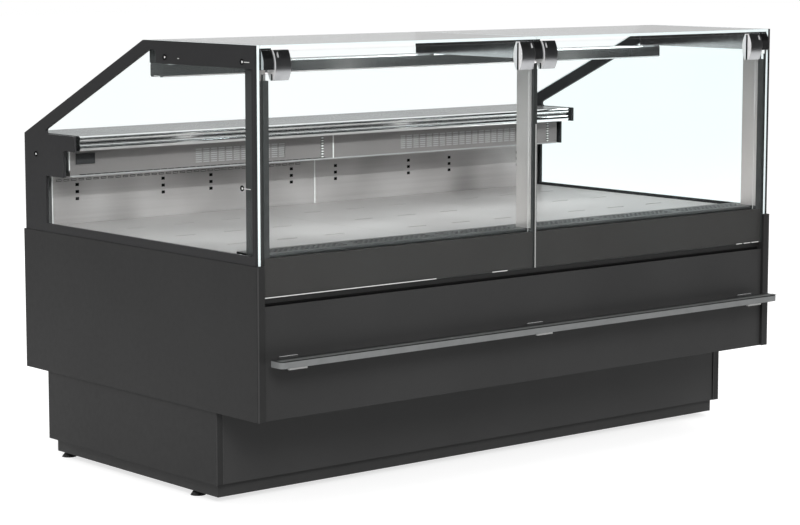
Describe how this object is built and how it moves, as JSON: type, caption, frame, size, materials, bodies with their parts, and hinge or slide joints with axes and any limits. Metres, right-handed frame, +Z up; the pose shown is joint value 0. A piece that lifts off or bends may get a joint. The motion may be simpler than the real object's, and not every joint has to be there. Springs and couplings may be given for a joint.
{
  "type": "refrigerated display case",
  "caption": "Serve-over refrigerated counter with lift-up front glass, glass ends and top, stainless display deck, rear worktop, bumper bar and recessed plinth.",
  "frame": {"origin": "centre of the bounding box at floor level", "axes": "+X along the case, to the right of someone facing its front; the customer side looks along -Y; +Z up"},
  "size_m": [2, 1.231, 1.25],
  "materials": {
    "graphite_panel": "satin",
    "graphite_sheet": "satin",
    "skirt_black": "matte",
    "frame_dark": "satin",
    "clear_glass": "polished",
    "top_glass": "polished",
    "stainless": "satin",
    "duct_steel": "satin",
    "polished_steel": "polished",
    "bumper_grey": "satin",
    "bracket_steel": "satin",
    "seal_rubber": "matte",
    "foot_plastic": "matte",
    "beam_aluminium": "satin",
    "lamp_diffuser": "satin",
    "display_plastic": "gloss",
    "control_plastic": "satin",
    "switch_plastic": "gloss",
    "foam_core": "satin",
    "coil_fins": "satin",
    "motor_black": "satin",
    "rotor_plastic": "satin",
    "pipe_plastic": "satin"
  },
  "bodies": {
    "cabinet": {"left_end_panel": "graphite_panel", "right_end_panel": "graphite_panel", "lower_front_panel": "graphite_sheet", "upper_front_band": "graphite_sheet", "rear_panel": "graphite_sheet", "front_plinth_panel": "graphite_sheet", "rear_plinth_panel": "graphite_sheet", "left_plinth_panel": "graphite_sheet", "right_plinth_panel": "graphite_sheet", "base_frame": "skirt_black", "left_trestle": "skirt_black", "right_trestle": "skirt_black", "left_end_frame": "frame_dark", "right_end_frame": "frame_dark", "left_end_glass": "clear_glass", "right_end_glass": "clear_glass", "left_top_glass": "top_glass", "right_top_glass": "top_glass", "left_post": "stainless", "mid_post": "stainless", "right_post": "stainless", "service_worktop": "stainless", "deck_supports": "stainless", "return_air_grille": "stainless", "fan_plate": "stainless", "left_duct_panel": "duct_steel", "right_duct_panel": "duct_steel", "left_back_panel": "duct_steel", "right_back_panel": "duct_steel", "canopy_arms": "polished_steel", "hinge_knuckles": "polished_steel", "hinge_pins": "polished_steel", "bumper_bar": "bumper_grey", "bumper_brackets": "bracket_steel", "post_seals": "seal_rubber", "levelling_feet": "foot_plastic", "canopy_beam": "beam_aluminium", "led_lamp": "lamp_diffuser", "thermometer_display": "display_plastic", "control_panel": "control_plastic", "insulated_tub": "foam_core", "evaporator_coil": "coil_fins", "condenser": "coil_fins", "fan_motors": "motor_black", "condenser_fan_motor": "motor_black", "compressor": "motor_black", "drain_pipe": "pipe_plastic", "cable_gland": "pipe_plastic"},
    "left_front_glass": {"left_front_pane": "clear_glass", "left_pane_clamps": "polished_steel"},
    "right_front_glass": {"right_front_pane": "clear_glass", "right_pane_clamps": "polished_steel"},
    "left_deck": {"left_deck_plate": "stainless"},
    "mid_deck": {"mid_deck_plate": "stainless"},
    "right_deck": {"right_deck_plate": "stainless"},
    "left_fan_rotor": {"left_evaporator_fan": "rotor_plastic"},
    "right_fan_rotor": {"right_evaporator_fan": "rotor_plastic"},
    "condenser_rotor": {"condenser_fan": "rotor_plastic"},
    "light_rocker": {"light_switch": "switch_plastic"},
    "power_rocker": {"power_switch": "switch_plastic"}
  },
  "joints": [
    {"name": "left_glass_lift", "type": "hinge", "parent": "cabinet", "child": "left_front_glass", "pos_m": [-0.4875, -0.5395, 1.197], "axis": [-1, 0, 0], "range_deg": [0, 90]},
    {"name": "right_glass_lift", "type": "hinge", "parent": "cabinet", "child": "right_front_glass", "pos_m": [0.4875, -0.5395, 1.197], "axis": [-1, 0, 0], "range_deg": [0, 90]},
    {"name": "left_deck_lift", "type": "slide", "parent": "cabinet", "child": "left_deck", "axis": [0, 0, 1], "range_m": [0, 0.1]},
    {"name": "mid_deck_lift", "type": "slide", "parent": "cabinet", "child": "mid_deck", "axis": [0, 0, 1], "range_m": [0, 0.1]},
    {"name": "right_deck_lift", "type": "slide", "parent": "cabinet", "child": "right_deck", "axis": [0, 0, 1], "range_m": [0, 0.1]},
    {"name": "left_fan_spin", "type": "hinge", "parent": "cabinet", "child": "left_fan_rotor", "pos_m": [-0.4, -0.0915, 0.466], "axis": [0, 1, 0], "continuous": true},
    {"name": "right_fan_spin", "type": "hinge", "parent": "cabinet", "child": "right_fan_rotor", "pos_m": [0.4, -0.0915, 0.466], "axis": [0, 1, 0], "continuous": true},
    {"name": "condenser_fan_spin", "type": "hinge", "parent": "cabinet", "child": "condenser_rotor", "pos_m": [0.56, 0.3865, 0.141], "axis": [0, 1, 0], "continuous": true},
    {"name": "light_rocker_tilt", "type": "hinge", "parent": "cabinet", "child": "light_rocker", "pos_m": [0.6, 0.6065, 0.886], "axis": [1, 0, 0], "range_deg": [-8, 8]},
    {"name": "power_rocker_tilt", "type": "hinge", "parent": "cabinet", "child": "power_rocker", "pos_m": [0.64, 0.6065, 0.886], "axis": [1, 0, 0], "range_deg": [-8, 8]}
  ]
}
